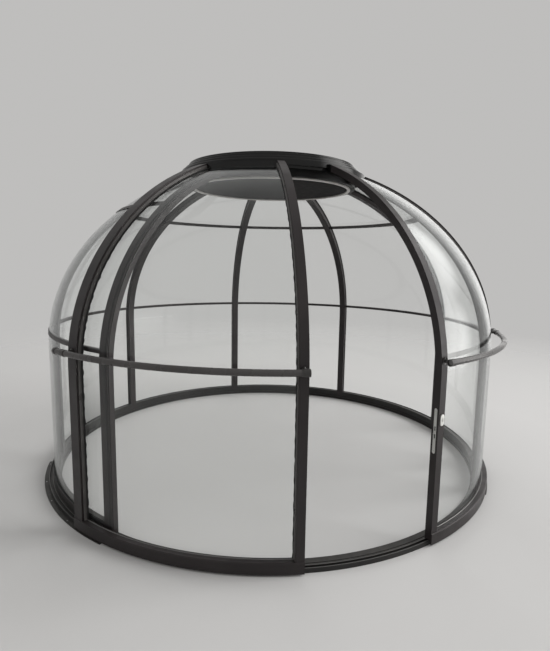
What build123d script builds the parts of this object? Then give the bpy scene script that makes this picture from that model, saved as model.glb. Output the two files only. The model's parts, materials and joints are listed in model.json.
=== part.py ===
# Garden dome: a round walk-in room of clear sheets between curved aluminium ribs.
# The shell stands on a ring on the ground and ends under a stepped crown. Six equal
# bays are fixed and one wide bay is the doorway. Two curved door leaves run round outside
# the fixed bays, on rollers in the ring's groove, with their heads under the crown's guide.
# The origin is on the ground at the dome's axis. The doorway's middle faces -Y.
# An azimuth is 0 at -Y and grows towards +X, anticlockwise from above.

import os
from math import acos, asin, cos, degrees, radians, sin, sqrt

from build123d import *

# Driving dimensions of the shell, in millimetres and degrees
base_diameter = 4000  # over the ground flanges beside the doorway
shoulder_height = 1114  # the wall is upright up to here, and an ellipse above
dome_rise = 1541  # from the shoulder to the apex of the ribs' outer faces
fixed_bay_count = 6
doorway_angle = 93  # between the middles of the two jamb ribs

# Ring on the ground
flange_reach = 32  # of the ground flange outside the track
flange_thickness = 6
track_width = 98
track_height = 30
groove_depth = 12
roller_groove_width = 20
roller_groove_inset = 18  # of the groove's middle from the track's outer edge
sill_height = 100  # top of the sill above the ground
drip_drop = 4  # of the sill's sloped top
sill_slot_depth = 22
sheet_foot_gap = 2  # over the sill slot's floor

# Fixed ribs and sheets
rib_width = 72
rib_depth = 50
cap_thickness = 5
sheet_thickness = 5
sheet_play = 0.3  # of a sheet in a slot that is as round as the sheet
sheet_slot = 7.0  # between a rib's straight cap and body, where a round sheet dips
web_width = 36  # of a rib between the sheets that it holds
sheet_edge_gap = 3  # from a sheet's edge to the web
sheet_end_gap = 22  # from the fixed sheets' top ends to the hub
bar_height = 26  # of the glazing bars across the fixed bays
bar_depth = 30
middle_bar_rise = 128  # of the bars' middles above the shoulder
upper_bar_rise = 1094
bar_joint_gap = 8  # between the sheets that meet in a bar

# Crown
crown_radius = 815
hub_outer_radius = 762
hub_inner_radius = 700
hub_wall = 8
hub_drop = 12  # of the hub below the ribs' inner faces
hub_rise = 6  # of the hub above the ribs' outer faces
crown_rise = 122  # of the crown's top above its lower edge
crown_step_height = 24
crown_step_width = 27
crown_wall = 6
crown_rim_width = 24
crown_edge_fillet = 8
trim_width = 26
trim_thickness = 10
trim_lip = 6  # under the ceiling's edge
ceiling_thickness = 6
guide_rise = 22  # of the leaves' guide above the crown's lower edge
guide_reach = 18
guide_thickness = 10
guide_play = 6  # between the guide and the leaves' heads
roof_rise = 26  # of the roof cap's middle above its rim
roof_rim_height = 12
roof_wall = 6

# Door leaves
lane_gap = 11  # between the fixed ribs' outer faces and the stiles' inner faces
leading_stile_width = 55
trailing_stile_width = 96
stile_depth = 50
stile_overhang = 20  # of the stiles' outer faces over the track's outer edge
stile_end_lap = 6  # that is cut back to the round face of the leaf's head
leaf_sweep = 45.95  # degrees from the closing plane to the trailing stile's middle
leaf_sheet_inset = 38  # of a leaf's sheet behind the stiles' outer faces
left_leaf_open = 7.6  # degrees from closed, as the leaves stand at rest
right_leaf_open = 18.1
closing_gap = 6  # between the leading stiles when closed
stile_slot_depth = 20
stile_slot_play = 1.6  # where the round sheet dips in the straight slot
rail_slot_depth = 13
rail_height = 50
rail_lift = 6  # of the leaf's bottom rail above the track
skirt_thickness = 14
skirt_gap = 12  # outside the track
skirt_lift = 6  # above the ground flange
head_gap = 8  # between the leaves' heads and the crown
head_width = 30
roller_radius = 24
roller_width = 10
roller_pocket_width = 14
roller_pin_radius = 4
roller_pocket_play = 3
roller_shares = (0.15, 0.85)  # of the way from one stile to the other
roller_play = 0.3  # over the groove's floor
seal_thickness = 5
seal_width = 14

# Hand bars and their brackets
hand_bar_radius = 20
hand_bar_wall = 2.5
hand_bar_height = 1225
hand_bar_reach = 50  # from the stiles' outer faces to the bar's middle
hand_bar_past_leading = 18  # of its open end past the leading stile's middle
hand_bar_past_trailing = 110
sleeve_length = 44
sleeve_wall = 3
end_cap_length = 20
end_cap_thickness = 4
post_radius = 11
post_flange_radius = 24
post_flange_thickness = 5

# Lock on the leading stiles
lock_height = 773
lock_plate_length = 296
lock_plate_width = 22
lock_plate_thickness = 3
lock_slot_length = 30
lock_slot_width = 9
lock_slot_places = (16, -35)  # of the slots' middles above the plate's middle
escutcheon_height = 848
escutcheon_length = 76
escutcheon_width = 34
escutcheon_thickness = 8
escutcheon_fillet = 3
key_slot_length = 26
key_slot_width = 9
key_slot_depth = 4

# Places that follow from the driving dimensions
base_radius = base_diameter / 2
bay_angle = (360 - doorway_angle) / fixed_bay_count
track_outer = base_radius - flange_reach
track_inner = track_outer - track_width
door_rib_outer = track_outer + stile_overhang
leaf_inner = door_rib_outer - stile_depth
rib_outer = leaf_inner - lane_gap
rib_inner = rib_outer - rib_depth
sheet_outset = -cap_thickness - sheet_play
leaf_inset = leaf_inner - rib_outer
leaf_outset = door_rib_outer - rib_outer
leaf_sheet_outset = leaf_outset - leaf_sheet_inset
middle_bar_height = shoulder_height + middle_bar_rise
upper_bar_height = shoulder_height + upper_bar_rise
jamb_azimuth = doorway_angle / 2
fixed_bays = [jamb_azimuth + bay_angle * n for n in range(fixed_bay_count)]
rib_azimuths = [jamb_azimuth + bay_angle * n for n in range(fixed_bay_count + 1)]
roller_groove_radius = track_outer - roller_groove_inset


def meridian_plane(azimuth):
    """Upright plane through the axis: its X points outwards and its Y up."""
    turn = radians(azimuth)
    return Plane(
        origin=(0, 0, 0), x_dir=(sin(turn), -cos(turn), 0), z_dir=(-cos(turn), -sin(turn), 0)
    )


def surface_height(outset, radius):
    """Height of the dome surface that lies outset from the ribs' outer faces."""
    share = radius / (rib_outer + outset)
    return shoulder_height + (dome_rise + outset) * sqrt(1 - share**2)


def surface_radius(outset, height):
    """Radius of that surface at a height."""
    share = max(0.0, (height - shoulder_height) / (dome_rise + outset))
    return (rib_outer + outset) * sqrt(1 - share**2)


def meridian_band(inner, outer, low, end_radius):
    """Face between two surfaces, from a height near the ground to a radius at the crown."""
    with BuildLine() as outline:
        tops = []
        for outset in (inner, outer):
            reach = rib_outer + outset
            Line((reach, low), (reach, shoulder_height))
            turn = degrees(acos(end_radius / reach))
            arc = EllipticalCenterArc((0, shoulder_height), reach, dome_rise + outset, arc_size=turn)
            tops.append(arc @ 1)
        Line((rib_outer + inner, low), (rib_outer + outer, low))
        Line(tops[0], tops[1])
    make_face(outline.edges())


def meridian_strip(inner, outer, low, high, mode=Mode.ADD):
    """Face between two surfaces, from one height to a higher one on the curved part."""
    with BuildLine() as outline:
        lows, highs = [], []
        for outset in (inner, outer):
            start = degrees(asin(max(0.0, (low - shoulder_height) / (dome_rise + outset))))
            end = degrees(asin((high - shoulder_height) / (dome_rise + outset)))
            reach = rib_outer + outset
            arc = EllipticalCenterArc(
                (0, shoulder_height), reach, dome_rise + outset, start, arc_size=end - start
            )
            highs.append(arc @ 1)
            if low < shoulder_height:
                wall = Line((reach, low), (reach, shoulder_height))
                lows.append(wall @ 0)
            else:
                lows.append(arc @ 0)
        Line(lows[0], lows[1])
        Line(highs[0], highs[1])
    make_face(outline.edges(), mode=mode)


def ring_face(corners):
    """Closed face through corners given as radius and height."""
    with BuildLine() as outline:
        Polyline(*corners, close=True)
    make_face(outline.edges())


def beside_rib(azimuth, offset):
    """Plane parallel to a rib's middle plane, offset towards growing azimuth."""
    return meridian_plane(azimuth).offset(-offset)


def finish(part, name):
    """Label a piece and write it."""
    part.label = name
    export_step(part, f"parts/{name}.step")


os.makedirs("parts", exist_ok=True)
ring_section = [
    (track_inner, 0),
    (track_outer, 0),
    (track_outer, track_height),
    (roller_groove_radius + roller_groove_width / 2, track_height),
    (roller_groove_radius + roller_groove_width / 2, track_height - groove_depth),
    (roller_groove_radius - roller_groove_width / 2, track_height - groove_depth),
    (roller_groove_radius - roller_groove_width / 2, track_height),
    (rib_outer, track_height),
]
sill_slot_inner = rib_outer + sheet_outset - sheet_thickness - sheet_play
sill_slot_outer = rib_outer - cap_thickness
sill_slot_floor = sill_height - sill_slot_depth
sheet_low = sill_slot_floor + sheet_foot_gap
sheet_end_radius = hub_outer_radius + sheet_end_gap

# Ring on the ground: a wider piece beside the doorway, where an open leaf stands
for number, start in enumerate(fixed_bays, 1):
    beside_doorway = number in (1, len(fixed_bays))
    with BuildPart() as base:
        with BuildSketch(meridian_plane(start)):
            ring_face(
                ring_section
                + [
                    (rib_outer, sill_height - drip_drop),
                    (sill_slot_outer, sill_height),
                    (sill_slot_outer, sill_slot_floor),
                    (sill_slot_inner, sill_slot_floor),
                    (sill_slot_inner, sill_height),
                    (rib_inner, sill_height),
                    (rib_inner, track_height),
                    (track_inner, track_height),
                ]
            )
            if beside_doorway:
                ring_face(
                    [
                        (track_outer, 0),
                        (base_radius, 0),
                        (base_radius, flange_thickness),
                        (track_outer, flange_thickness),
                    ]
                )
        revolve(axis=Axis.Z, revolution_arc=bay_angle)
        for azimuth in (start, start + bay_angle):
            with BuildSketch(meridian_plane(azimuth)):
                ring_face(
                    [
                        (rib_inner - 1, track_height),
                        (rib_outer + 1, track_height),
                        (rib_outer + 1, sill_height + 1),
                        (rib_inner - 1, sill_height + 1),
                    ]
                )
            extrude(amount=rib_width / 2, both=True, mode=Mode.SUBTRACT)
    finish(base.part, f"base_{number}")

# Threshold across the doorway: the same track without the sill
for name, start in (("threshold_left", -jamb_azimuth), ("threshold_right", 0)):
    with BuildPart() as threshold:
        with BuildSketch(meridian_plane(start)):
            ring_face(
                ring_section
                + [
                    (sill_slot_outer, track_height),
                    (sill_slot_outer, track_height - groove_depth),
                    (sill_slot_inner, track_height - groove_depth),
                    (sill_slot_inner, track_height),
                    (track_inner, track_height),
                ]
            )
        revolve(axis=Axis.Z, revolution_arc=jamb_azimuth)
        jamb = start if start < 0 else jamb_azimuth
        with BuildSketch(meridian_plane(jamb)):
            ring_face(
                [
                    (rib_inner, track_height - groove_depth),
                    (rib_outer, track_height - groove_depth),
                    (rib_outer, track_height),
                    (rib_inner, track_height),
                ]
            )
        extrude(amount=rib_width / 2, both=True)
        split(bisect_by=meridian_plane(jamb), keep=Keep.BOTTOM if start < 0 else Keep.TOP)
    finish(threshold.part, name)

# Fixed ribs: an inner body, a narrower web between the sheets, and an outer cap
for number, azimuth in enumerate(rib_azimuths):
    with BuildPart() as rib:
        for inner, outer, width in (
            (-rib_depth, -cap_thickness - sheet_slot, rib_width),
            (-cap_thickness - sheet_slot, -cap_thickness, web_width),
            (-cap_thickness, 0, rib_width),
        ):
            with BuildSketch(meridian_plane(azimuth)):
                meridian_band(inner, outer, track_height, hub_outer_radius)
            extrude(amount=width / 2, both=True)
    last = len(rib_azimuths) - 1
    name = {0: "jamb_right", last: "jamb_left"}.get(number, f"rib_{number}")
    finish(rib.part, name)

# Fixed sheets: three to a bay, which meet with a gap inside the two glazing bars
for number, start in enumerate(fixed_bays, 1):
    edge = web_width / 2 + sheet_edge_gap
    joints = (middle_bar_height, upper_bar_height)
    sheet_top = surface_height(sheet_outset, sheet_end_radius)
    tiers = (
        (sheet_low, joints[0] - bar_joint_gap / 2),
        (joints[0] + bar_joint_gap / 2, joints[1] - bar_joint_gap / 2),
        (joints[1] + bar_joint_gap / 2, sheet_top),
    )
    with BuildPart() as panel:
        with BuildSketch(meridian_plane(start)):
            for low, high in tiers:
                meridian_strip(sheet_outset - sheet_thickness, sheet_outset, low, high)
        revolve(axis=Axis.Z, revolution_arc=bay_angle)
        split(bisect_by=beside_rib(start, edge), keep=Keep.BOTTOM)
        split(bisect_by=beside_rib(start + bay_angle, -edge), keep=Keep.TOP)
    finish(panel.part, f"panel_{number}")

# Glazing bars across the fixed bays, each with a slot above and below for the sheets
for name, height in (("middle_bars", middle_bar_height), ("upper_bars", upper_bar_height)):
    with BuildPart() as bars:
        with BuildSketch(meridian_plane(jamb_azimuth)):
            meridian_strip(-bar_depth, 0, height - bar_height / 2, height + bar_height / 2)
            for low, high in (
                (height - bar_height, height - bar_joint_gap / 2 + 2),
                (height + bar_joint_gap / 2 - 2, height + bar_height),
            ):
                meridian_strip(sill_slot_inner - rib_outer, -cap_thickness, low, high, Mode.SUBTRACT)
        revolve(axis=Axis.Z, revolution_arc=bay_angle * len(fixed_bays))
        for azimuth in rib_azimuths:
            with BuildSketch(meridian_plane(azimuth)):
                meridian_strip(-bar_depth - 1, 1, height - bar_height, height + bar_height)
            extrude(amount=rib_width / 2, both=True, mode=Mode.SUBTRACT)
    finish(bars.part, name)

# Crown: the hub that the ribs' heads meet, the stepped ring over it, and what closes it
hub_low = surface_height(-rib_depth, hub_outer_radius) - hub_drop
hub_high = surface_height(0, hub_outer_radius) + hub_rise
crown_low = surface_height(0, crown_radius) + hub_rise
crown_height = crown_low + crown_rise
crown_steps = [
    (crown_radius, crown_low),
    (crown_radius, crown_height - 2 * crown_step_height),
    (crown_radius - crown_step_width, crown_height - 2 * crown_step_height),
    (crown_radius - crown_step_width, crown_height - crown_step_height),
    (crown_radius - 2 * crown_step_width, crown_height - crown_step_height),
    (crown_radius - 2 * crown_step_width, crown_height),
]
crown_inner_radius = crown_radius - 2 * crown_step_width - crown_rim_width
with BuildPart() as hub:
    with BuildSketch(meridian_plane(0)):
        ring_face(
            [
                (hub_inner_radius, hub_low),
                (hub_outer_radius, hub_low),
                (hub_outer_radius, hub_high),
                (hub_inner_radius, hub_high),
                (hub_inner_radius, hub_high - hub_wall),
                (hub_outer_radius - hub_wall, hub_high - hub_wall),
                (hub_outer_radius - hub_wall, hub_low + hub_wall),
                (hub_inner_radius, hub_low + hub_wall),
            ]
        )
    revolve(axis=Axis.Z)
finish(hub.part, "crown_hub")

with BuildPart() as crown:
    with BuildSketch(meridian_plane(0)) as crown_section:
        ring_face(
            [(hub_inner_radius, hub_high), (hub_outer_radius, hub_high)]
            + crown_steps
            + [(crown_inner_radius, crown_height)]
            + [
                (max(radius - crown_wall, crown_inner_radius), height - crown_wall)
                for radius, height in [(crown_inner_radius, crown_height)] + crown_steps[:0:-1]
            ]
            + [
                (crown_radius - crown_wall, crown_low + crown_wall),
                (hub_outer_radius, hub_high + crown_wall),
                (hub_inner_radius, hub_high + crown_wall),
            ]
        )
        step_corners = [
            corner
            for corner in crown_section.vertices()
            if any((Vector(*step) - Vector(corner.X, corner.Y)).length < 1 for step in crown_steps[1::2])
        ]
        fillet(step_corners, crown_edge_fillet)
    revolve(axis=Axis.Z)
finish(crown.part, "crown_ring")

guide_height = crown_low + guide_rise
with BuildPart() as guide:
    with BuildSketch(meridian_plane(0)):
        ring_face(
            [
                (crown_radius, guide_height),
                (crown_radius + guide_reach, guide_height),
                (crown_radius + guide_reach, guide_height + guide_thickness),
                (crown_radius, guide_height + guide_thickness),
            ]
        )
    revolve(axis=Axis.Z)
finish(guide.part, "head_guide")

with BuildPart() as trim:
    with BuildSketch(meridian_plane(0)):
        ring_face(
            [
                (hub_inner_radius - trim_lip, hub_low - trim_thickness),
                (hub_inner_radius - trim_lip + trim_width, hub_low - trim_thickness),
                (hub_inner_radius - trim_lip + trim_width, hub_low),
                (hub_inner_radius - trim_lip, hub_low),
            ]
        )
    revolve(axis=Axis.Z)
finish(trim.part, "crown_trim")

with BuildPart() as ceiling:
    with BuildSketch(Plane.XY.offset(hub_low)):
        Circle(hub_inner_radius - sheet_play)
    extrude(amount=ceiling_thickness)
finish(ceiling.part, "ceiling_disc")

roof_radius = crown_inner_radius + crown_rim_width / 2
roof_rim = crown_height + roof_rim_height
roof_curve = (roof_radius**2 + roof_rise**2) / 2 / roof_rise
with BuildPart() as roof:
    with BuildSketch(meridian_plane(0)):
        with BuildLine() as dish:
            inside = roof_radius - roof_wall
            Line((roof_radius, crown_height), (roof_radius, roof_rim))
            RadiusArc((roof_radius, roof_rim), (0, roof_rim + roof_rise), -roof_curve)
            Line((0, roof_rim + roof_rise), (0, roof_rim + roof_rise - roof_wall))
            RadiusArc(
                (0, roof_rim + roof_rise - roof_wall), (inside, roof_rim - roof_wall), roof_curve
            )
            Polyline(
                (inside, roof_rim - roof_wall), (inside, crown_height), (roof_radius, crown_height)
            )
        make_face(dish.edges())
    revolve(axis=Axis.Z)
finish(roof.part, "roof_cap")

# Door leaves: two curved stiles, a rail on rollers, a head, a sheet, seals and a hand bar
rail_low = track_height + rail_lift
rail_high = rail_low + rail_height
skirt_low = flange_thickness + skirt_lift
skirt_outer = track_outer + skirt_gap + skirt_thickness
head_inner = crown_radius + head_gap
head_outer = head_inner + head_width
leaf_slot_inner = leaf_sheet_outset - sheet_thickness - sheet_play
leaf_slot_outer = leaf_sheet_outset + sheet_play
hand_bar_circle = door_rib_outer + hand_bar_reach
roller_middle = track_height - groove_depth + roller_play + roller_radius
end_turn = degrees(asin(trailing_stile_width / head_inner))  # more than the rails' ends need
leaves = {"left": (-1, left_leaf_open), "right": (1, right_leaf_open)}
for side, (hand, opened) in leaves.items():
    # Each stile's meridian, the offset of its middle plane, its width and its sheet's side
    closing_line = hand * opened
    leading_offset = hand * (closing_gap + leading_stile_width) / 2
    stiles = {
        "leading": (closing_line, leading_offset, leading_stile_width, hand),
        "trailing": (closing_line + hand * leaf_sweep, 0, trailing_stile_width, -hand),
    }
    first, last = (azimuth for azimuth, *_ in sorted(stiles.values()))
    first_end, last_end = (
        beside_rib(azimuth, offset - inward * width / 2)
        for azimuth, offset, width, inward in sorted(stiles.values())
    )

    # Stiles, each with a slot on the side of the leaf's sheet
    for edge, (azimuth, offset, width, inward) in stiles.items():
        with BuildPart() as stile:
            with BuildSketch(beside_rib(azimuth, offset)):
                meridian_band(leaf_inset, leaf_outset, rail_high, head_outer - stile_end_lap)
            extrude(amount=width / 2, both=True)
            with BuildSketch(beside_rib(azimuth, offset + inward * (width / 2 - stile_slot_depth))):
                meridian_band(
                    leaf_slot_inner - stile_slot_play,
                    leaf_slot_outer,
                    rail_high - 1,
                    head_outer - stile_end_lap - 1,
                )
            extrude(amount=-inward * (stile_slot_depth + 1), mode=Mode.SUBTRACT)
            with BuildSketch():
                Circle(head_outer)
            extrude(amount=shoulder_height + 2 * dome_rise, mode=Mode.SUBTRACT)
            if edge == "leading":
                with BuildSketch(beside_rib(azimuth, hand * closing_gap / 2)):
                    with Locations(((leaf_inner + door_rib_outer) / 2, lock_height)):
                        SlotOverall(lock_plate_length, lock_plate_width, rotation=90)
                extrude(amount=-inward * lock_plate_thickness, mode=Mode.SUBTRACT)
        finish(stile.part, f"{edge}_stile_{side}")

    with BuildPart() as rail:
        with BuildSketch(meridian_plane(first - end_turn)):
            ring_face(
                [
                    (leaf_inner, rail_low),
                    (skirt_outer - skirt_thickness, rail_low),
                    (skirt_outer - skirt_thickness, skirt_low),
                    (skirt_outer, skirt_low),
                    (skirt_outer, rail_high - drip_drop),
                    (door_rib_outer, rail_high),
                    (rib_outer + leaf_slot_outer, rail_high),
                    (rib_outer + leaf_slot_outer, rail_high - rail_slot_depth),
                    (rib_outer + leaf_slot_inner, rail_high - rail_slot_depth),
                    (rib_outer + leaf_slot_inner, rail_high),
                    (leaf_inner, rail_high),
                ]
            )
        revolve(axis=Axis.Z, revolution_arc=last - first + 2 * end_turn)
        split(bisect_by=first_end, keep=Keep.BOTTOM)
        split(bisect_by=last_end, keep=Keep.TOP)
        for share in roller_shares:
            azimuth = first + share * (last - first)
            pocket_high = roller_middle + roller_radius + roller_pocket_play - rail_low
            pocket_long = 2 * (roller_radius + roller_pocket_play)
            with BuildSketch(meridian_plane(azimuth)):
                with Locations((roller_groove_radius, rail_low)):
                    Rectangle(roller_pocket_width, pocket_high, align=(Align.CENTER, Align.MIN))
            extrude(amount=pocket_long / 2, both=True, mode=Mode.SUBTRACT)
    finish(rail.part, f"bottom_rail_{side}")

    with BuildPart() as rollers:
        for share in roller_shares:
            across = meridian_plane(first + share * (last - first))
            middle = across.from_local_coords((roller_groove_radius, roller_middle, 0))
            with BuildSketch(Plane(origin=middle, z_dir=across.x_dir)):
                Circle(roller_radius)
            extrude(amount=roller_width / 2, both=True)
            with BuildSketch(Plane(origin=middle, z_dir=across.x_dir)):
                Circle(roller_pin_radius)
            extrude(amount=roller_pocket_width / 2, both=True)
    finish(rollers.part, f"rollers_{side}")

    with BuildPart() as head:
        with BuildSketch(meridian_plane(first - end_turn)):
            slot_end = crown_radius + guide_reach + guide_play
            ring_face(
                [
                    (head_inner, surface_height(leaf_inset, head_inner)),
                    (head_outer, surface_height(leaf_inset, head_outer)),
                    (head_outer, surface_height(leaf_outset, head_outer)),
                    (head_inner, surface_height(leaf_outset, head_inner)),
                    (head_inner, guide_height + guide_thickness + guide_play),
                    (slot_end, guide_height + guide_thickness + guide_play),
                    (slot_end, guide_height - guide_play),
                    (head_inner, guide_height - guide_play),
                ]
            )
        revolve(axis=Axis.Z, revolution_arc=last - first + 2 * end_turn)
        split(bisect_by=first_end, keep=Keep.BOTTOM)
        split(bisect_by=last_end, keep=Keep.TOP)
    finish(head.part, f"head_rail_{side}")

    with BuildPart() as sheet:
        with BuildSketch(meridian_plane(first)):
            meridian_band(
                leaf_sheet_outset - sheet_thickness,
                leaf_sheet_outset,
                rail_high - rail_slot_depth + sheet_play,
                head_outer + sheet_play,
            )
        revolve(axis=Axis.Z, revolution_arc=last - first)
        for azimuth, offset, width, inward in stiles.values():
            sheet_edge = offset + inward * (width / 2 - stile_slot_depth + sheet_edge_gap)
            kept = Keep.BOTTOM if inward > 0 else Keep.TOP
            split(bisect_by=beside_rib(azimuth, sheet_edge), keep=kept)
    finish(sheet.part, f"door_sheet_{side}")

    # Rubber strips along both stiles, with their backs cut to the sheet's round face
    with BuildPart() as seals:
        for azimuth, offset, width, inward in stiles.values():
            with BuildSketch(beside_rib(azimuth, offset + inward * (width / 2 + sheet_play))):
                meridian_band(
                    leaf_sheet_outset - sheet_thickness,
                    leaf_sheet_outset + sheet_play + seal_thickness,
                    rail_high + sheet_play,
                    head_outer + sheet_play,
                )
            extrude(amount=-inward * seal_width)
        with BuildSketch(meridian_plane(first)):
            meridian_band(
                leaf_sheet_outset - 2 * sheet_thickness,
                leaf_sheet_outset + sheet_play,
                rail_high - 1,
                head_outer - stile_end_lap,
            )
        revolve(axis=Axis.Z, revolution_arc=last - first, mode=Mode.SUBTRACT)
    finish(seals.part, f"seals_{side}")

    # Hand bar: a bent tube that is open at the leading edge
    turn_per_length = hand / radians(hand_bar_circle)
    leading_post = closing_line + degrees(asin(leading_offset / hand_bar_circle))
    leading_tip = leading_post - turn_per_length * hand_bar_past_leading
    trailing_post = closing_line + hand * leaf_sweep
    trailing_tip = trailing_post + turn_per_length * hand_bar_past_trailing
    with BuildPart() as hand_bar:
        with BuildSketch(meridian_plane(leading_tip)):
            with Locations((hand_bar_circle, hand_bar_height)):
                Circle(hand_bar_radius)
                Circle(hand_bar_radius - hand_bar_wall, mode=Mode.SUBTRACT)
        revolve(axis=Axis.Z, revolution_arc=trailing_tip - leading_tip)
    finish(hand_bar.part, f"hand_bar_{side}")

    # Brackets: a post on each stile with a sleeve round the bar, and a cap on the far tip
    half_sleeve = turn_per_length * sleeve_length / 2
    cap_start = trailing_tip - turn_per_length * end_cap_length
    cap_end = trailing_tip + turn_per_length * end_cap_thickness
    bore_start = leading_tip - turn_per_length * sleeve_length
    bore_end = trailing_tip + turn_per_length * sheet_play
    face_reach = surface_radius(leaf_outset, hand_bar_height)
    with BuildPart() as brackets:
        for azimuth, offset, width, _ in stiles.values():
            across = beside_rib(azimuth, offset)
            foot = across.from_local_coords((leaf_inner, hand_bar_height, 0))
            with BuildSketch(Plane(origin=foot, z_dir=across.x_dir)):
                Circle(post_radius)
            extrude(amount=hand_bar_circle - leaf_inner)
            with BuildSketch(Plane(origin=foot, z_dir=across.x_dir)):
                Circle(post_flange_radius)
            extrude(amount=face_reach - leaf_inner + post_flange_thickness)
            with BuildSketch(across):
                meridian_band(leaf_inset - 1, leaf_outset, rail_high, head_outer)
            extrude(amount=width / 2, both=True, mode=Mode.SUBTRACT)
        for start, end in (
            (leading_post - half_sleeve, leading_post + half_sleeve),
            (trailing_post - half_sleeve, trailing_post + half_sleeve),
            (cap_start, cap_end),
        ):
            with BuildSketch(meridian_plane(start)):
                with Locations((hand_bar_circle, hand_bar_height)):
                    Circle(hand_bar_radius + sleeve_wall)
            revolve(axis=Axis.Z, revolution_arc=end - start)
        with BuildSketch(meridian_plane(bore_start)):
            with Locations((hand_bar_circle, hand_bar_height)):
                Circle(hand_bar_radius + sheet_play)
        revolve(axis=Axis.Z, revolution_arc=bore_end - bore_start, mode=Mode.SUBTRACT)
    finish(brackets.part, f"bar_brackets_{side}")

    # Lock plate on the leading edge, flush in its recess
    lock_name = {"left": "strike_plate", "right": "lock_plate"}[side]
    with BuildPart() as plate:
        with BuildSketch(beside_rib(closing_line, hand * closing_gap / 2)):
            with Locations(((leaf_inner + door_rib_outer) / 2, lock_height)):
                SlotOverall(lock_plate_length, lock_plate_width, rotation=90)
                with Locations(*[(0, place) for place in lock_slot_places]):
                    SlotOverall(lock_slot_length, lock_slot_width, rotation=90, mode=Mode.SUBTRACT)
        extrude(amount=-hand * lock_plate_thickness)
    finish(plate.part, lock_name)

# Key escutcheon on the right leaf's leading stile, with its key slot
across = beside_rib(right_leaf_open, (closing_gap + leading_stile_width) / 2)
foot = across.from_local_coords((door_rib_outer, escutcheon_height, 0))
with BuildPart() as escutcheon:
    with BuildSketch(Plane(origin=foot, x_dir=(0, 0, 1), z_dir=across.x_dir)):
        SlotOverall(escutcheon_length, escutcheon_width)
    extrude(amount=escutcheon_thickness)
    outer_face = escutcheon.faces().sort_by(Axis(foot, across.x_dir))[-1]
    fillet(outer_face.edges(), escutcheon_fillet)
    key_foot = foot + across.x_dir * escutcheon_thickness
    with BuildSketch(Plane(origin=key_foot, x_dir=(0, 0, 1), z_dir=across.x_dir)):
        SlotOverall(key_slot_length, key_slot_width)
    extrude(amount=-key_slot_depth, mode=Mode.SUBTRACT)
finish(escutcheon.part, "key_escutcheon")
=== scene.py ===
# Garden dome: looks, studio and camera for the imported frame. All lengths are in metres.
# An azimuth is 0 at -Y and grows towards +X, as in the part's source.

import json
from math import acos, cos, degrees, hypot, pi, radians, sin, sqrt

import bmesh
import bpy
from mathutils import Matrix, Vector


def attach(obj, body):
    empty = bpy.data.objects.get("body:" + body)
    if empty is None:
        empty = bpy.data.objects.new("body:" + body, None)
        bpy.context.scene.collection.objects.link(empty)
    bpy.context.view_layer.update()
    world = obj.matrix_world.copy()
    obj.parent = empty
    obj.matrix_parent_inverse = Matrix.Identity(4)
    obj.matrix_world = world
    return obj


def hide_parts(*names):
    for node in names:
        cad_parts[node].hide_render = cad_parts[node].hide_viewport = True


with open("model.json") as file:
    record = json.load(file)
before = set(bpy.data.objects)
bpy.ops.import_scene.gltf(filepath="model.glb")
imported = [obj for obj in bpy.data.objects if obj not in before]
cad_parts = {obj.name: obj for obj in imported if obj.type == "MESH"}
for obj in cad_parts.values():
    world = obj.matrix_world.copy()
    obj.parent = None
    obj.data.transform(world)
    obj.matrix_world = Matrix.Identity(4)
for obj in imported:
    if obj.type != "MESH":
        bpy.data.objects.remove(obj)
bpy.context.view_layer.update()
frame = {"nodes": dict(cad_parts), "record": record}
nodes = frame["nodes"]


# Shader helpers
def new_material(name):
    """Empty node material: returns it with its node tree and its output node."""
    mat = bpy.data.materials.new(name)
    mat.use_nodes = True
    tree = mat.node_tree
    tree.nodes.clear()
    out = tree.nodes.new("ShaderNodeOutputMaterial")
    return mat, tree, out


def shader(tree, out, **values):
    """Principled shader joined to the output, with plain values by socket name."""
    node = tree.nodes.new("ShaderNodeBsdfPrincipled")
    for key, value in values.items():
        node.inputs[key.replace("_", " ")].default_value = value
    tree.links.new(node.outputs["BSDF"], out.inputs["Surface"])
    return node


def position(tree):
    """Object coordinates: the nodes' meshes are all in the row frame."""
    return tree.nodes.new("ShaderNodeTexCoord").outputs["Object"]


def noise(tree, where, scale, detail, roughness=0.5):
    """Smooth noise, mostly between 0.3 and 0.7."""
    node = tree.nodes.new("ShaderNodeTexNoise")
    node.inputs["Scale"].default_value = scale
    node.inputs["Detail"].default_value = detail
    node.inputs["Roughness"].default_value = roughness
    tree.links.new(where, node.inputs["Vector"])
    return node.outputs["Fac"]


def ramp(tree, fac, stops):
    """Colour ramp through stops given as position and colour."""
    node = tree.nodes.new("ShaderNodeValToRGB")
    for n, (place, colour) in enumerate(stops):
        element = node.color_ramp.elements[n] if n < 2 else node.color_ramp.elements.new(place)
        element.position = place
        element.color = (*colour, 1)
    tree.links.new(fac, node.inputs["Fac"])
    return node.outputs["Color"]


def spread(tree, fac, low, high, start=0.3, end=0.7):
    """Maps a factor from its usual span to a range of values."""
    node = tree.nodes.new("ShaderNodeMapRange")
    node.inputs["From Min"].default_value = start
    node.inputs["From Max"].default_value = end
    node.inputs["To Min"].default_value = low
    node.inputs["To Max"].default_value = high
    tree.links.new(fac, node.inputs["Value"])
    return node.outputs["Result"]


def math_node(tree, operation, *values):
    """Math node whose inputs are other nodes' outputs or plain numbers."""
    node = tree.nodes.new("ShaderNodeMath")
    node.operation = operation
    for socket, value in zip(node.inputs, values):
        if isinstance(value, bpy.types.NodeSocket):
            tree.links.new(value, socket)
        else:
            socket.default_value = value
    return node.outputs["Value"]


def mix_shaders(tree, share, first, second):
    """Two shaders' outputs mixed: a share of 0 gives the first and 1 the second."""
    node = tree.nodes.new("ShaderNodeMixShader")
    for socket, value in zip(node.inputs, (share, first, second)):
        tree.links.new(value, socket)
    return node.outputs["Shader"]


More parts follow.
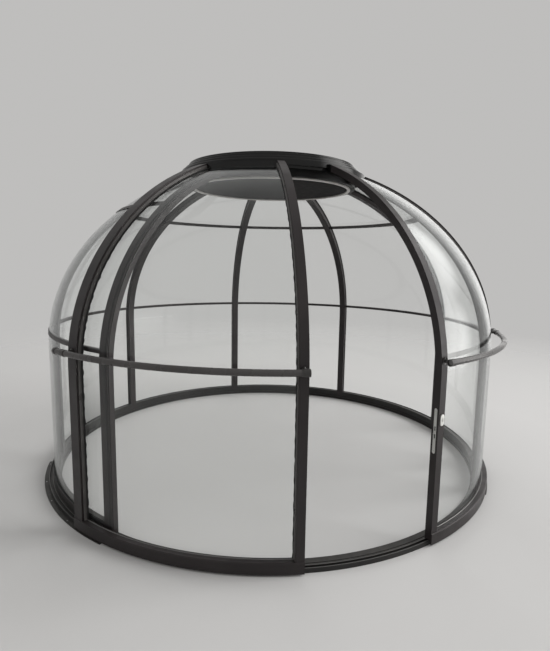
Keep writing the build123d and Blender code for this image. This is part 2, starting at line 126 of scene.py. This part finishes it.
def bump(tree, node, height, strength, distance):
    """Fine relief on a shader, from a noise."""
    bumper = tree.nodes.new("ShaderNodeBump")
    bumper.inputs["Strength"].default_value = strength
    bumper.inputs["Distance"].default_value = distance
    tree.links.new(height, bumper.inputs["Height"])
    tree.links.new(bumper.outputs["Normal"], node.inputs["Normal"])


# Materials
def dusted(tree, where, tone, dust):
    """A tone under patches of dust, on faces that look up."""
    dust_colour = (0.33, 0.31, 0.285, 1)
    facing = tree.nodes.new("ShaderNodeNewGeometry")
    split = tree.nodes.new("ShaderNodeSeparateXYZ")
    tree.links.new(facing.outputs["True Normal"], split.inputs[0])
    flat = spread(tree, split.outputs["Z"], 0.0, dust, start=0.5, end=0.95)
    patches = spread(tree, noise(tree, where, scale=14, detail=7, roughness=0.65), 0.25, 1.0)
    blend = tree.nodes.new("ShaderNodeMix")
    blend.data_type = "RGBA"
    tree.links.new(math_node(tree, "MULTIPLY", flat, patches), blend.inputs["Factor"])
    tree.links.new(tone, blend.inputs["A"])
    blend.inputs["B"].default_value = dust_colour
    return blend.outputs["Result"]


def coated_metal(name, dark, light, rough, dust=0.0, shine=0.4):
    """Powder coat: a slow change of tone, a fine grain, uneven gloss, and dust on what faces up."""
    mat, tree, out = new_material(name)
    node = shader(tree, out, Metallic=0.1, Specular_IOR_Level=shine)
    where = position(tree)
    tone = ramp(tree, noise(tree, where, scale=2.3, detail=5), [(0.3, dark), (0.72, light)])
    if dust:
        tone = dusted(tree, where, tone, dust)
    tree.links.new(tone, node.inputs["Base Color"])
    gloss = spread(tree, noise(tree, where, scale=9, detail=6), rough - 0.06, rough + 0.1)
    tree.links.new(gloss, node.inputs["Roughness"])
    grain = noise(tree, where, scale=900, detail=2)
    bump(tree, node, grain, strength=0.12, distance=0.0004)
    return mat


def clear_sheet(name):
    """Clear plastic sheet: what is behind shows through, and the gloss grows at a slant."""
    tint = (0.982, 0.985, 0.983, 1)
    mirror_tone = (0.9, 0.92, 0.92, 1)
    mirror_at_slant = 0.85
    mirror_head_on = 0.013
    mirror_power = 5.0
    most_haze = 0.006
    mat, tree, out = new_material(name)
    where = position(tree)
    through = tree.nodes.new("ShaderNodeBsdfTransparent")
    through.inputs["Color"].default_value = tint
    face = tree.nodes.new("ShaderNodeBsdfPrincipled")
    face.inputs["Base Color"].default_value = mirror_tone
    face.inputs["Metallic"].default_value = 1.0
    gloss = spread(tree, noise(tree, where, scale=3, detail=4), 0.02, 0.07)
    tree.links.new(gloss, face.inputs["Roughness"])
    slant = tree.nodes.new("ShaderNodeLayerWeight")
    slant.inputs["Blend"].default_value = 0.5
    steep = math_node(tree, "POWER", slant.outputs["Facing"], mirror_power)
    mirror = math_node(tree, "MULTIPLY_ADD", steep, mirror_at_slant, mirror_head_on)
    haze = spread(tree, noise(tree, where, scale=5, detail=6, roughness=0.6), 0.0, most_haze)
    share = math_node(tree, "ADD", mirror, haze)
    mixed = mix_shaders(tree, share, through.outputs["BSDF"], face.outputs["BSDF"])
    tree.links.new(mixed, out.inputs["Surface"])
    return mat


def plain(name, colour, rough, metallic=0.0, shine=0.5):
    """Matte or brushed stuff with a fine grain and a slight change of tone."""
    mat, tree, out = new_material(name)
    node = shader(tree, out, Metallic=metallic, Specular_IOR_Level=shine)
    where = position(tree)
    low = tuple(c * 0.85 for c in colour)
    high = tuple(min(1.0, c * 1.12) for c in colour)
    tone = ramp(tree, noise(tree, where, scale=6, detail=4), [(0.3, low), (0.7, high)])
    tree.links.new(tone, node.inputs["Base Color"])
    gloss = spread(tree, noise(tree, where, scale=20, detail=4), rough - 0.05, rough + 0.08)
    tree.links.new(gloss, node.inputs["Roughness"])
    grain = noise(tree, where, scale=400, detail=2)
    bump(tree, node, grain, strength=0.2, distance=0.0003)
    return mat


crown_tones = ((0.006, 0.006, 0.006), (0.009, 0.009, 0.0085))
frame_tones = ((0.0185, 0.0155, 0.0158), (0.029, 0.0245, 0.0248))
ring_tones = ((0.015, 0.0145, 0.014), (0.025, 0.024, 0.023))
bar_tones = ((0.052, 0.049, 0.048), (0.074, 0.070, 0.069))
bracket_tones = ((0.028, 0.026, 0.025), (0.045, 0.042, 0.041))
glazing_tones = ((0.070, 0.066, 0.064), (0.098, 0.093, 0.090))
frame_metal = coated_metal("frame_metal", *frame_tones, 0.38, shine=0.3)
ring_metal = coated_metal("ring_metal", *ring_tones, 0.42, dust=0.09, shine=0.3)
crown_metal = coated_metal("crown_metal", *crown_tones, 0.13, shine=0.32)
hub_metal = coated_metal("hub_metal", *crown_tones, 0.5, shine=0.15)
bar_metal = coated_metal("bar_metal", *bar_tones, 0.26, shine=0.3)
bracket_metal = coated_metal("bracket_metal", *bracket_tones, 0.26)
glazing_metal = coated_metal("glazing_metal", *glazing_tones, 0.3)
sheet_clear = clear_sheet("sheet_clear")
trim_grey = plain("trim_grey", (0.52, 0.50, 0.48), 0.35)
ceiling_dark = plain("ceiling_dark", (0.012, 0.011, 0.011), 0.8, shine=0.1)
seal_black = plain("seal_black", (0.008, 0.008, 0.008), 0.7)
nylon = plain("nylon", (0.70, 0.69, 0.66), 0.5)
lock_steel = plain("lock_steel", (0.62, 0.62, 0.60), 0.32, metallic=1.0)
screw_steel = plain("screw_steel", (0.50, 0.50, 0.49), 0.3, metallic=1.0)
# Light metal of the bar ends, whose colour also paints the highlight lines of the track's strips
# and the rails' beads
bright_metal_and_highlight = plain("bright_metal_and_highlight", (0.19, 0.187, 0.183), 0.4, metallic=0.6)

# Each node's material follows its slot, apart from the few that look different
by_slot = {
    "frame_metal": frame_metal,
    "ring_metal": ring_metal,
    "crown_metal": crown_metal,
    "bar_metal": bar_metal,
    "bracket_metal": bracket_metal,
    "clear_sheet": sheet_clear,
    "trim_ring": trim_grey,
    "ceiling_dark": ceiling_dark,
    "seal_rubber": seal_black,
    "roller_plastic": nylon,
    "lock_metal": lock_steel,
}
by_name = {
    "head_rail_left": crown_metal,
    "head_rail_right": crown_metal,
    "crown_hub": hub_metal,
}
slot_of = {s["node"]: s["material_slot"] for s in frame["record"]["subparts"]}
for name, node in nodes.items():
    node.data.materials.clear()
    node.data.materials.append(by_name.get(name, by_slot[slot_of[name]]))


# The dome's own numbers, as in its source, in metres and degrees
rib_outer = 1.927
shoulder_height = 1.114
dome_rise = 1.541
doorway_angle = 93
fixed_bays = 6
rib_half_width = 0.036
crown_radius = 0.815
sill_top = 0.1
sheet_outset = -0.0053
sheet_thickness = 0.005
track_outer = 1.968
track_top = 0.03
groove_radius = 1.95
groove_half_width = 0.01
flange_top = 0.006
stile_outer = 1.988
leaf_sheet_outset = 0.023
rail_top = 0.086
head_outer = 0.853
closing_gap = 0.006
leading_width = 0.055
trailing_width = 0.096
leaf_sweep = 45.95
leaf_open = {"left": (-1, 7.6), "right": (1, 18.1)}  # side of the doorway, turn from closed
lock_height = 0.773
lock_screw_spread = 0.13
bar_height = 1.225
bar_circle = 2.038  # radius of the hand bars' middle line

# Places that follow
bay_angle = (360 - doorway_angle) / fixed_bays
rib_azimuths = [doorway_angle / 2 + bay_angle * n for n in range(fixed_bays + 1)]
stile_outset = stile_outer - rib_outer
up = Vector((0, 0, 1))


# Shape helpers
def compass(azimuth):
    """Outward and sideways directions at an azimuth; sideways is towards growing azimuth."""
    turn = radians(azimuth)
    return Vector((sin(turn), -cos(turn), 0)), Vector((cos(turn), sin(turn), 0))


def meridian_path(outset, low, end_reach, arc_steps, wall_steps):
    """Places up a surface of the dome, each as reach, height and the surface's slope out and up."""
    reach, rise = rib_outer + outset, dome_rise + outset
    step = (shoulder_height - low) / wall_steps
    places = [(reach, low + step * n, 1.0, 0.0) for n in range(wall_steps)]
    last_turn = acos(end_reach / reach)
    for n in range(arc_steps + 1):
        turn = last_turn * n / arc_steps
        slope_out, slope_up = cos(turn) * rise, sin(turn) * reach
        length = hypot(slope_out, slope_up)
        height = shoulder_height + rise * sin(turn)
        places.append((reach * cos(turn), height, slope_out / length, slope_up / length))
    return places


def up_the_dome(azimuth, offset, outset, low, end_reach, arc_steps=56, wall_steps=1):
    """Stations of a strip up the dome, at an offset sideways from an azimuth's plane."""
    outward, sideways = compass(azimuth)
    path = meridian_path(outset, low, end_reach, arc_steps, wall_steps)
    return [
        (
            outward * reach + sideways * offset + up * height,
            sideways,
            outward * slope_out + up * slope_up,
        )
        for reach, height, slope_out, slope_up in path
    ]


def round_the_ring(radius, height, start, end, count=48):
    """Stations of a strip round the axis: across is outwards and out is up."""
    stations = []
    for n in range(count + 1):
        outward = compass(start + (end - start) * n / count)[0]
        stations.append((outward * radius + up * height, outward, up))
    return stations


def sweep(bm, stations, section, closed=False):
    """Solid strip: the section's points, across and out, at each station's middle and axes."""
    rings = []
    for n, (middle, across, out) in enumerate(stations):
        points = section(n) if callable(section) else section
        rings.append([bm.verts.new(middle + across * u + out * v) for u, v in points])
    join_rings(bm, rings, closed)


def join_rings(bm, rings, closed=False):
    """Faces between rings of points, with a cap at each end unless the rings close up."""
    size = len(rings[0])
    for n in range(len(rings) if closed else len(rings) - 1):
        low, high = rings[n], rings[(n + 1) % len(rings)]
        for k in range(size):
            bm.faces.new((low[k], low[(k + 1) % size], high[(k + 1) % size], high[k]))
    if not closed:
        bm.faces.new(rings[0][::-1])
        bm.faces.new(rings[-1])


def screw(bm, middle, axis, radius=0.0048, height=0.0022, count=14):
    """Pan-head screw with a round socket, its foot just inside the face that it stands on."""
    side = axis.orthogonal().normalized()
    other = axis.cross(side)
    profile = (
        (radius, -0.0003),
        (radius * 0.94, height * 0.55),
        (radius * 0.62, height),
        (radius * 0.4, height * 0.96),
        (radius * 0.34, height * 0.2),
    )
    turns = [2 * pi * k / count for k in range(count)]
    ways = [side * cos(turn) + other * sin(turn) for turn in turns]
    rings = [
        [bm.verts.new(middle + axis * lift + way * reach) for way in ways]
        for reach, lift in profile
    ]
    join_rings(bm, rings)


def bead_section(width, height, side=1):
    """Half-round bead from a corner: it grows to one side and stands up by its height."""
    turns = [pi * n / 6 for n in range(7)]
    return [(side * width * (1 - cos(turn)) / 2, height * sin(turn)) for turn in turns]


def wave(n, size, phase):
    """Uneven waviness of a rubber strip's free edge."""
    waves = ((0.5, 0.95, 1.0), (0.3, 0.43, 2.3), (0.2, 1.6, 0.0))
    return size * sum(part * sin(n * speed + phase * lead) for part, speed, lead in waves)


def piece(name, bm, mat, body):
    """Mesh object from a bmesh, with its material and body."""
    sharp_from = 35
    bmesh.ops.recalc_face_normals(bm, faces=bm.faces)
    mesh = bpy.data.meshes.new(name)
    bm.to_mesh(mesh)
    bm.free()
    mesh.materials.append(mat)
    mesh.shade_smooth()
    mesh.set_sharp_from_angle(angle=radians(sharp_from))
    obj = bpy.data.objects.new(name, mesh)
    bpy.context.scene.collection.objects.link(obj)
    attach(obj, body)
    return obj


# Rubber beads in the corners between ribs and fixed sheets, outside and inside
gasket_width = 0.006
gasket_height = 0.0045
gasket_inset = 0.0003  # of a bead's foot, inwards from the sheet's face
gasket_stop = 0.01  # of the outer bead, short of the crown
outer_outset = sheet_outset - gasket_inset
inner_outset = sheet_outset - sheet_thickness - gasket_inset
bm = bmesh.new()
last = len(rib_azimuths) - 1
for number, azimuth in enumerate(rib_azimuths):
    for side in (-1, 1):
        if (number, side) in ((0, -1), (last, 1)):
            continue
        edge = side * rib_half_width
        outer = up_the_dome(azimuth, edge, outer_outset, sill_top, crown_radius + gasket_stop)
        sweep(bm, outer, bead_section(gasket_width, gasket_height, side))
        inner = up_the_dome(azimuth, edge, inner_outset, sill_top, crown_radius)
        sweep(bm, inner, bead_section(gasket_width, -gasket_height, side))
piece("rib_gaskets", bm, seal_black, "frame")

# The same bead where the fixed sheets stand in the sill
sill_bead_size = 0.005
sill_bead_sink = 0.001
sheet_outer = rib_outer + sheet_outset
half_rib_turn = degrees(rib_half_width / rib_outer)
bm = bmesh.new()
for azimuth in rib_azimuths[:-1]:
    start, end = azimuth + half_rib_turn, azimuth + bay_angle - half_rib_turn
    for radius, side in ((sheet_outer, 1), (sheet_outer - sheet_thickness, -1)):
        ring = round_the_ring(radius, sill_top - sill_bead_sink, start, end)
        sweep(bm, ring, bead_section(sill_bead_size, sill_bead_size, side))
piece("sill_gaskets", bm, seal_black, "frame")

# Wavy pile strips on the jambs, towards the doorway
pile_inset = 0.012  # of the strip's middle from the jamb's side
pile_foot = 0.004  # half widths
pile_tip = 0.003
pile_sink = 0.0005
pile_height = 0.0055
pile_waviness = 0.0022


def pile_section(side):
    """Pile strip's section, as a function of the station's number."""

    def section(n):
        lean = wave(n, pile_waviness, side + 2)
        return [
            (-pile_foot, -pile_sink),
            (pile_foot, -pile_sink),
            (pile_tip + lean, pile_height),
            (-pile_tip + lean, pile_height),
        ]

    return section


bm = bmesh.new()
for azimuth, side in ((rib_azimuths[0], -1), (rib_azimuths[-1], 1)):
    offset = side * (rib_half_width - pile_inset)
    strip = up_the_dome(azimuth, offset, 0.0, sill_top, crown_radius, arc_steps=110, wall_steps=55)
    sweep(bm, strip, pile_section(side))
piece("jamb_piles", bm, seal_black, "frame")

# Bright strips beside the roller groove: thin light metal strips whose light colour is a painted
# highlight along the track's edges
highlight_strip_gap = 0.003  # from the groove's edge to the strip's middle
highlight_strip_offset = groove_half_width + highlight_strip_gap
highlight_strip_sink = 0.0004
highlight_strip_foot = 0.0015  # half widths
highlight_strip_tip = 0.0011
highlight_strip_height = 0.0012
highlight_strip = [(-highlight_strip_foot, 0), (highlight_strip_foot, 0), (highlight_strip_tip, highlight_strip_height), (-highlight_strip_tip, highlight_strip_height)]
bm = bmesh.new()
for radius in (groove_radius - highlight_strip_offset, groove_radius + highlight_strip_offset):
    ring = round_the_ring(radius, track_top - highlight_strip_sink, 0, 360, count=180)[:-1]
    sweep(bm, ring, highlight_strip, closed=True)
piece("track_highlight_strips", bm, bright_metal_and_highlight, "frame")

# Screws through the ground flange of the two pieces that have one
flange_screw_reach = 0.017  # beyond the track
flange_screw_shares = (0.04, 0.27, 0.5, 0.73, 0.96)  # of a bay's angle
bm = bmesh.new()
for start in (rib_azimuths[0], rib_azimuths[-2]):
    for share in flange_screw_shares:
        outward = compass(start + bay_angle * share)[0]
        screw(bm, outward * (track_outer + flange_screw_reach) + up * flange_top, up)
piece("flange_screws", bm, screw_steel, "frame")


# Sizes of the leaves' trim
seal_steps = (170, 85)  # along the arc and the wall, fine enough for the waves
seal_side_gap = 0.0003  # beside the stile
seal_lift = 0.0004  # above the leaf's sheet
seal_foot_height = 0.0048
seal_edge_height = 0.0026
seal_edge_bevel = 0.001
seal_crest_share = 0.6  # of the seal's width, up to where it begins to slope
clamp_width = 0.0075
clamp_top_width = 0.0055
clamp_low = 0.0042
clamp_high = 0.024
clamp_chamfer = 0.002
rail_highlight_bead_width = 0.006
rail_highlight_bead_height = 0.004
rail_highlight_bead_sink = 0.0003
rim_back = 0.022  # of the hand bar's rim and plug, from the leading stile's middle
plug_back = 0.012
rim_radius = 0.0216
rim_steps = 32
wire_radius = 0.0013  # of the rim's own round section
wire_sides = 8
plug_radius = 0.0172
plug_height = 0.003
plug_sides = 28
plate_screw_inset = 0.025  # from the stile's outer face
plate_screw = (0.0036, 0.0008)  # radius and height
bracket_screw = (0.0036, 0.0018)
bracket_screw_spread = 0.0165
bracket_flange = 0.005


def rubber_section(inward, corner, width, waviness, phase):
    """Wavy seal's section, as a function of the station's number; it follows the round sheet."""

    def section(n):
        edge = width + wave(n, waviness, phase)
        dip = [-((corner + inward * u) ** 2) / 2 / stile_outer for u in (0, edge)]
        return [
            (0, dip[0]),
            (inward * edge, dip[1]),
            (inward * (edge - seal_edge_bevel), dip[1] + seal_edge_height),
            (inward * edge * seal_crest_share, dip[1] + seal_foot_height),
            (0, dip[0] + seal_foot_height),
        ]

    return section


for leaf, (hand, opened) in leaf_open.items():
    body = f"leaf_{leaf}"
    closing = hand * opened
    trailing = closing + hand * leaf_sweep
    leading_middle = (closing_gap + leading_width) / 2
    sheet_surface = leaf_sheet_outset + seal_lift
    # Each stile as azimuth, offset, width, the sheet's side, and its seal's width, waviness, phase
    stiles = (
        (closing, hand * leading_middle, leading_width, hand, 0.013, 0.002, 1.0),
        (trailing, 0.0, trailing_width, -hand, 0.021, 0.008, 4.0),
    )

    # Black rubber with a wavy free edge on the leaf's sheet, and the bead that clamps it
    clamp = (
        (0.0, clamp_low),
        (clamp_width, clamp_low),
        (clamp_width, clamp_high - clamp_chamfer),
        (clamp_top_width, clamp_high),
        (0.0, clamp_high),
    )
    rubber_bm, clamp_bm = bmesh.new(), bmesh.new()
    for azimuth, offset, width, inward, *seal_sizes in stiles:
        corner = offset + inward * (width / 2 + seal_side_gap)
        strip = up_the_dome(azimuth, corner, sheet_surface, rail_top, head_outer, *seal_steps)
        sweep(rubber_bm, strip, rubber_section(inward, corner, *seal_sizes))
        sweep(clamp_bm, strip, [(inward * u, v) for u, v in clamp])
    seal = piece(f"wavy_seals_{leaf}", rubber_bm, seal_black, body)
    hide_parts(f"seals_{leaf}")
    piece(f"glazing_beads_{leaf}", clamp_bm, glazing_metal, body)

    # Light bead on the bottom rail, at the sheet's foot: its light colour is a painted highlight
    # along the rail's top edge
    bm = bmesh.new()
    start = closing + hand * degrees((closing_gap + leading_width) / stile_outer)
    end = trailing - hand * degrees(trailing_width / 2 / stile_outer)
    ring = round_the_ring(rib_outer + sheet_surface, rail_top - rail_highlight_bead_sink, start, end)
    sweep(bm, ring, bead_section(rail_highlight_bead_width, rail_highlight_bead_height))
    piece(f"rail_highlight_bead_{leaf}", bm, bright_metal_and_highlight, body)

    # Bright rim on the hand bar's open sleeve, and a plug inside the tube
    bm = bmesh.new()
    rim_azimuth, plug_azimuth = (
        closing + hand * degrees((leading_middle - back) / bar_circle)
        for back in (rim_back, plug_back)
    )
    outward, sideways = compass(rim_azimuth)
    centre = outward * bar_circle + up * bar_height
    wire_turns = [2 * pi * k / wire_sides for k in range(wire_sides)]
    wire = [(wire_radius * cos(turn), wire_radius * sin(turn)) for turn in wire_turns]
    rim = []
    for k in range(rim_steps):
        turn = 2 * pi * k / rim_steps
        reach = outward * cos(turn) + up * sin(turn)
        rim.append((centre + reach * rim_radius, reach, sideways * -hand))
    sweep(bm, rim, wire, closed=True)
    outward, sideways = compass(plug_azimuth)
    centre = outward * bar_circle + up * bar_height
    screw(bm, centre, sideways * -hand, plug_radius, plug_height, plug_sides)
    piece(f"bar_end_{leaf}", bm, bright_metal_and_highlight, body)

    # Screws of the lock plates and the brackets
    bm = bmesh.new()
    outward, sideways = compass(closing)
    middle = outward * (stile_outer - plate_screw_inset) + sideways * hand * closing_gap / 2
    for place in (-lock_screw_spread, lock_screw_spread):
        screw(bm, middle + up * (lock_height + place), -sideways * hand, *plate_screw)
    above_shoulder = (bar_height - shoulder_height) / (dome_rise + stile_outset)
    stile_face = stile_outer * sqrt(1 - above_shoulder**2)
    for azimuth, offset, *_ in stiles:
        outward, sideways = compass(azimuth)
        foot = outward * (stile_face + bracket_flange) + sideways * offset
        for place in (-bracket_screw_spread, bracket_screw_spread):
            screw(bm, foot + up * (bar_height + place), outward, *bracket_screw)
    piece(f"leaf_screws_{leaf}", bm, screw_steel, body)


# Studio floor: pale, and it fades into the surround between two distances from the axis
floor_radius = 40
floor_sides = 96
fade_start, fade_end = 3.2, 10.0
bpy.ops.mesh.primitive_circle_add(
    vertices=floor_sides, radius=floor_radius, fill_type="NGON", location=(0, 0, 0)
)
floor = bpy.context.active_object
floor.name = "studio_floor"
mat, tree, out = new_material("studio_floor")
stone = shader(tree, out, Base_Color=(0.53, 0.525, 0.52, 1), Roughness=0.8)
stone.inputs["Specular IOR Level"].default_value = 0.1
far = tree.nodes.new("ShaderNodeVectorMath")
far.operation = "LENGTH"
tree.links.new(position(tree), far.inputs[0])
fade = spread(tree, far.outputs["Value"], 0.0, 1.0, fade_start, fade_end)
clear = tree.nodes.new("ShaderNodeBsdfTransparent")
mixed = mix_shaders(tree, fade, stone.outputs["BSDF"], clear.outputs["BSDF"])
tree.links.new(mixed, out.inputs["Surface"])
floor.data.materials.append(mat)

# World: an even backdrop for the camera, and for all other rays the same with soft glows in
# place of the room's windows. A glow is its direction, the cosines of the angles from there at
# which it starts and is full, and its strength.
backdrop_level = 0.52
glows = (
    ((0.955, -0.28, 0.05), 0.89, 0.98, 3.4),
    ((0.80, 0.08, 0.58), 0.92, 0.985, 3.0),
    ((0.66, 0.74, 0.14), 0.91, 0.99, 0.7),
)
world = bpy.data.worlds.new("studio")
bpy.context.scene.world = world
world.use_nodes = True
tree = world.node_tree
tree.nodes.clear()
seen = tree.nodes.new("ShaderNodeTexCoord").outputs["Generated"]
level = backdrop_level
for towards, edge, core, strength in glows:
    aim = tree.nodes.new("ShaderNodeVectorMath")
    aim.operation = "DOT_PRODUCT"
    tree.links.new(seen, aim.inputs[0])
    aim.inputs[1].default_value = Vector(towards).normalized()
    glow = spread(tree, aim.outputs["Value"], 0.0, strength, edge, core)
    glow.node.interpolation_type = "SMOOTHSTEP"
    level = math_node(tree, "ADD", glow, level)
backdrop, surround = (tree.nodes.new("ShaderNodeBackground") for _ in range(2))
for node in (backdrop, surround):
    node.inputs["Color"].default_value = (1.0, 0.99, 0.975, 1)
backdrop.inputs["Strength"].default_value = backdrop_level
tree.links.new(level, surround.inputs["Strength"])
camera_ray = tree.nodes.new("ShaderNodeLightPath").outputs["Is Camera Ray"]
outputs = [node.outputs["Background"] for node in (surround, backdrop)]
world_out = tree.nodes.new("ShaderNodeOutputWorld")
tree.links.new(mix_shaders(tree, camera_ray, *outputs), world_out.inputs["Surface"])


# Lamps: large and soft, aimed at the dome's middle, and left out of its gloss
def lamp(name, place, power):
    """Area lamp at a place."""
    width, height = 9, 7
    target = Vector((0, 0, 1.2))
    data = bpy.data.lights.new(name, "AREA")
    data.shape = "RECTANGLE"
    data.size, data.size_y = width, height
    data.energy = power
    obj = bpy.data.objects.new(name, data)
    obj.location = place
    obj.rotation_euler = (target - Vector(place)).to_track_quat("-Z", "Y").to_euler()
    obj.visible_glossy = False
    bpy.context.scene.collection.objects.link(obj)


lamp("key", (12.0, -5.0, 8.5), 1250)
lamp("fill", (-9.0, -10.0, 9.5), 150)
lamp("back", (2.5, 13.0, 9.0), 520)

# Camera where the photograph was taken, with its angles in degrees
view_azimuth = -14.2
camera_distance = 4.524
camera_height = 1.826
camera_yaw = 0.68
camera_pitch = -7.86
camera_roll = 0.92
focal_pixels = 475
frame_height_pixels = 651
sensor_height = 36  # millimetres
data = bpy.data.cameras.new("camera")
data.sensor_fit = "VERTICAL"
data.sensor_height = sensor_height
data.lens = focal_pixels / frame_height_pixels * sensor_height
data.clip_end = 200
camera = bpy.data.objects.new("camera", data)
bpy.context.scene.collection.objects.link(camera)
outward = compass(view_azimuth)[0]
place = Matrix.Translation(outward * camera_distance + up * camera_height)
turn = Matrix.Rotation(radians(view_azimuth - camera_yaw), 4, "Z")
tilt = Matrix.Rotation(radians(90 + camera_pitch), 4, "X")
roll = Matrix.Rotation(radians(camera_roll), 4, "Z")
camera.matrix_world = place @ turn @ tilt @ roll
bpy.context.scene.camera = camera
bpy.context.scene.view_settings.view_transform = "Standard"
